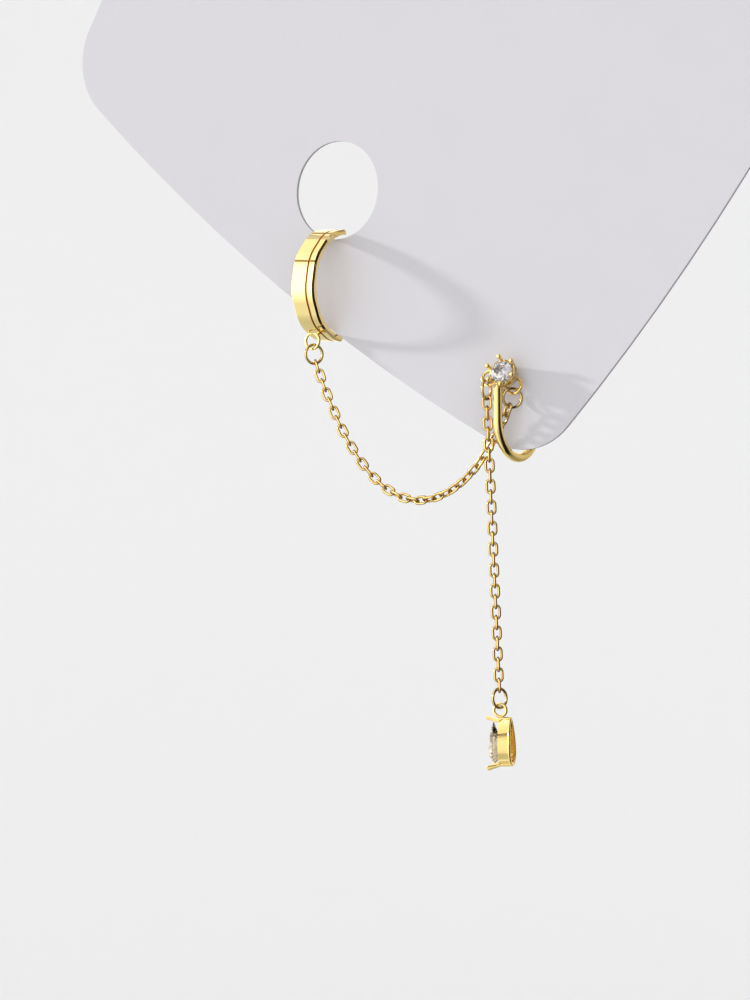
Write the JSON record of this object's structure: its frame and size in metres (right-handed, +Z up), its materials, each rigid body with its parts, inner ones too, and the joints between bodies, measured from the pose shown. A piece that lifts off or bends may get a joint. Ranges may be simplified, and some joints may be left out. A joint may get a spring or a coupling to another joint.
{
  "type": "clip-on chain earring with ear cuff on a display card",
  "caption": "Ear cuff and stone clip joined by a fine link chain, with a pear stone drop on a second chain, shown on a plain hanging card.",
  "frame": {"origin": "the card's topmost point, at the middle of its thickness, where it is held up", "axes": "+Z up against gravity, -Y towards the viewer of the card's front, +X to the viewer's right"},
  "size_m": [0.1166, 0.0127, 0.1538],
  "materials": {
    "paperboard": "matt, smooth",
    "gold": "polished gold plate",
    "chain_gold": "polished gold plate",
    "clear_stone": "cut and polished"
  },
  "bodies": {
    "card_and_earring": {"display_card": "paperboard", "ear_cuff": "gold", "cuff_ring": "gold", "link_chain": "chain_gold", "chain_ring": "gold", "lobe_clip": "gold", "round_stone": "clear_stone", "drop_top_ring": "gold", "drop_chain": "chain_gold", "drop_ring": "gold"},
    "pear_drop": {"pear_setting": "gold", "pear_stone": "clear_stone"}
  },
  "joints": [
    {"name": "drop_swing", "type": "hinge", "parent": "card_and_earring", "child": "pear_drop", "pos_m": [0.01079, -0.0105, -0.14655], "axis": [0.3584, -0.9336, 0], "range_deg": [-35, 35]}
  ]
}
